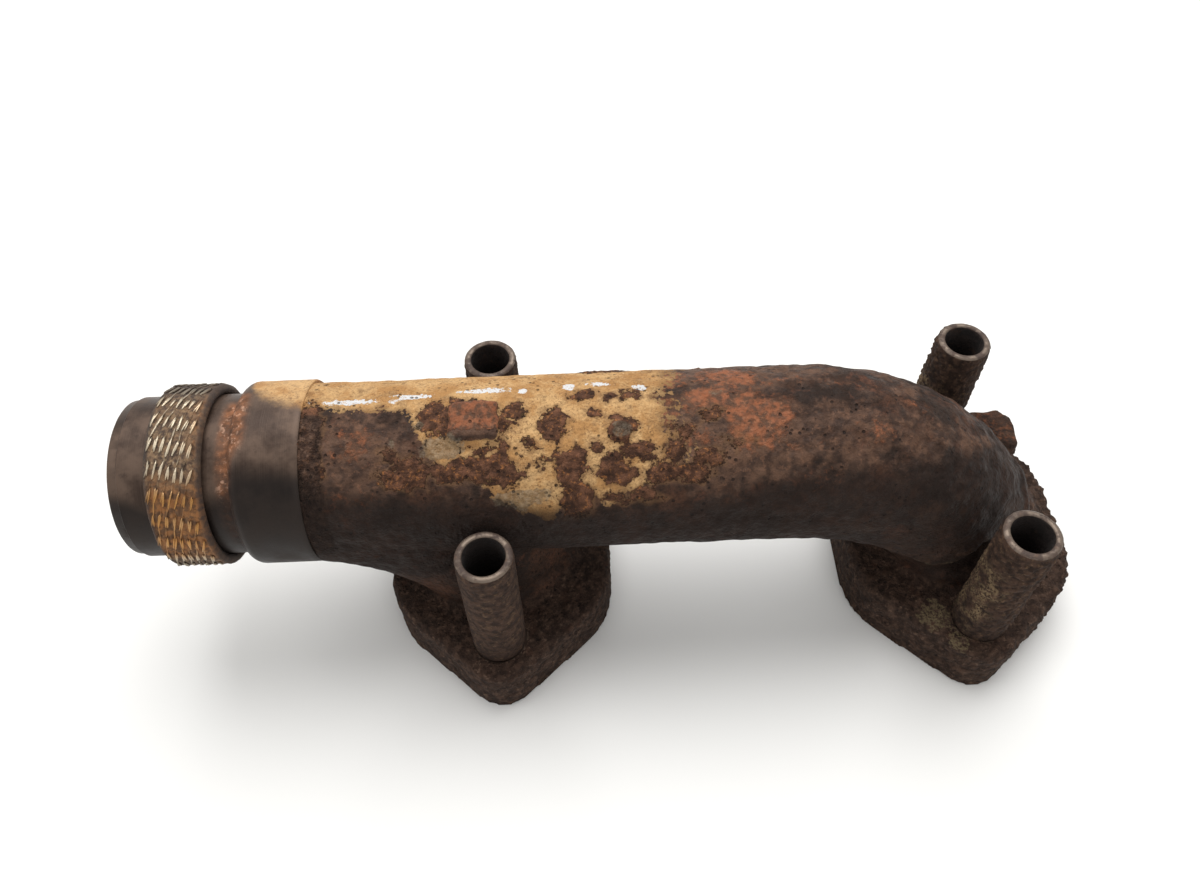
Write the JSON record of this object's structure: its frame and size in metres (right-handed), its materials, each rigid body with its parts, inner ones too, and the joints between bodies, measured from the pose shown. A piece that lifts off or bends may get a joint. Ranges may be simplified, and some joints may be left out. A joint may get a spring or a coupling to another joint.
{
  "type": "exhaust manifold section",
  "caption": "Cast-iron exhaust manifold end section: log pipe with a slip-joint spigot and packing ring, an elbow, bolted port flanges and loose spacer sleeves.",
  "frame": {"origin": "middle of the object in plan, on the gasket plane of the two port flanges", "axes": "+X along the pipe from the spigot towards the elbow, +Z away from the gasket plane, towards the bolt heads, -Y the side of the front bolts"},
  "size_m": [0.3168, 0.1106, 0.1],
  "materials": {
    "rusted_cast_iron": "heat-scaled and rusted casting",
    "knitted_wire": "pressed knitted wire, heat-stained",
    "scaled_sleeve_steel": "rust-scaled outside, turned ends"
  },
  "bodies": {
    "casting": {"manifold_casting": "rusted_cast_iron"},
    "ring": {"packing_ring": "knitted_wire"},
    "sleeve_front_left": {"spacer_sleeve_front_left": "scaled_sleeve_steel"},
    "sleeve_front_right": {"spacer_sleeve_front_right": "scaled_sleeve_steel"},
    "sleeve_rear_left": {"spacer_sleeve_rear_left": "scaled_sleeve_steel"},
    "sleeve_rear_right": {"spacer_sleeve_rear_right": "scaled_sleeve_steel"}
  },
  "joints": [
    {"name": "ring_slide", "type": "slide", "parent": "casting", "child": "ring", "axis": [1, 0, 0], "range_m": [-0.03, 0.007]},
    {"name": "sleeve_lift_front_left", "type": "slide", "parent": "casting", "child": "sleeve_front_left", "axis": [0, 0, 1], "range_m": [0, 0.06]},
    {"name": "sleeve_lift_front_right", "type": "slide", "parent": "casting", "child": "sleeve_front_right", "axis": [0, 0, 1], "range_m": [0, 0.06]},
    {"name": "sleeve_lift_rear_left", "type": "slide", "parent": "casting", "child": "sleeve_rear_left", "axis": [0, 0, 1], "range_m": [0, 0.06]},
    {"name": "sleeve_lift_rear_right", "type": "slide", "parent": "casting", "child": "sleeve_rear_right", "axis": [0, 0, 1], "range_m": [0, 0.06]}
  ]
}
